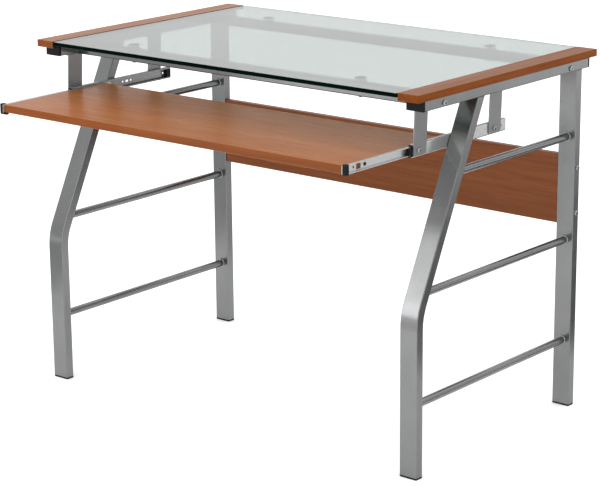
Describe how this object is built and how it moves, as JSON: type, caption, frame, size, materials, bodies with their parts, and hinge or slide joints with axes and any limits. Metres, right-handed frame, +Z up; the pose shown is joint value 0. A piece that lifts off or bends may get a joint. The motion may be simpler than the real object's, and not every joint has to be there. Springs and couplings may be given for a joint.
{
  "type": "computer desk with keyboard tray",
  "caption": "Computer desk with a glass top between wood caps on silver tubular side frames, a modesty panel and a pull-out keyboard tray on ball-bearing slides.",
  "frame": {"origin": "on the floor, at the middle of the bounding box of the desk with its tray at the modelled position", "axes": "+X to the sitter's right, +Y to the back, +Z up; the tray pulls out along -Y"},
  "size_m": [1, 0.7624, 0.75],
  "materials": {
    "silver_paint": "smooth silver-grey powder coat",
    "cherry_laminate": "satin cherry wood-grain laminate",
    "clear_glass": "clear tempered glass with a faint green tint and ground edges",
    "clear_pad": "clear soft plastic",
    "zinc_plate": "bright zinc-plated sheet steel",
    "black_plastic": "black moulded plastic",
    "bolt_steel": "nickel-plated steel",
    "ball_steel": "polished steel"
  },
  "bodies": {
    "frame": {"cap_screws": "bolt_steel", "front_cross_rail": "silver_paint", "glass_pads": "clear_pad", "glass_top": "clear_glass", "hanger_screws": "bolt_steel", "left_cabinet_slide": "zinc_plate", "left_front_foot_glide": "black_plastic", "left_front_hanger": "silver_paint", "left_front_leg": "silver_paint", "left_front_rail_plug": "black_plastic", "left_lower_rung": "silver_paint", "left_middle_rung": "silver_paint", "left_rear_foot_glide": "black_plastic", "left_rear_hanger": "silver_paint", "left_rear_leg": "silver_paint", "left_rear_rail_plug": "black_plastic", "left_side_rail": "silver_paint", "left_slide_rear_stop": "black_plastic", "left_slide_retainer": "black_plastic", "left_upper_rung": "silver_paint", "left_wood_cap": "cherry_laminate", "modesty_panel": "cherry_laminate", "pad_screws": "bolt_steel", "panel_barrel_nuts": "bolt_steel", "panel_bolts": "bolt_steel", "rail_bolts": "bolt_steel", "rail_inserts": "bolt_steel", "rear_cross_rail": "silver_paint", "right_cabinet_slide": "zinc_plate", "right_front_foot_glide": "black_plastic", "right_front_hanger": "silver_paint", "right_front_leg": "silver_paint", "right_front_rail_plug": "black_plastic", "right_lower_rung": "silver_paint", "right_middle_rung": "silver_paint", "right_rear_foot_glide": "black_plastic", "right_rear_hanger": "silver_paint", "right_rear_leg": "silver_paint", "right_rear_rail_plug": "black_plastic", "right_side_rail": "silver_paint", "right_slide_rear_stop": "black_plastic", "right_slide_retainer": "black_plastic", "right_upper_rung": "silver_paint", "right_wood_cap": "cherry_laminate"},
    "keyboard_tray": {"tray_board": "cherry_laminate", "left_drawer_slide": "zinc_plate", "right_drawer_slide": "zinc_plate", "left_slide_bumper": "black_plastic", "right_slide_bumper": "black_plastic", "tray_screws": "bolt_steel"},
    "left_ball_race": {"left_ball_cage": "zinc_plate", "left_slide_balls": "ball_steel"},
    "right_ball_race": {"right_ball_cage": "zinc_plate", "right_slide_balls": "ball_steel"}
  },
  "joints": [
    {"name": "tray_slide", "type": "slide", "parent": "frame", "child": "keyboard_tray", "axis": [0, -1, 0], "range_m": [-0.165, 0.045]},
    {"name": "left_race_slide", "type": "slide", "parent": "frame", "child": "left_ball_race", "axis": [0, -1, 0], "range_m": [-0.0825, 0.0225]},
    {"name": "right_race_slide", "type": "slide", "parent": "frame", "child": "right_ball_race", "axis": [0, -1, 0], "range_m": [-0.0825, 0.0225]}
  ],
  "couplings": [
    {"joint": "left_race_slide", "follows": "tray_slide", "ratio": 0.5},
    {"joint": "right_race_slide", "follows": "tray_slide", "ratio": 0.5}
  ]
}
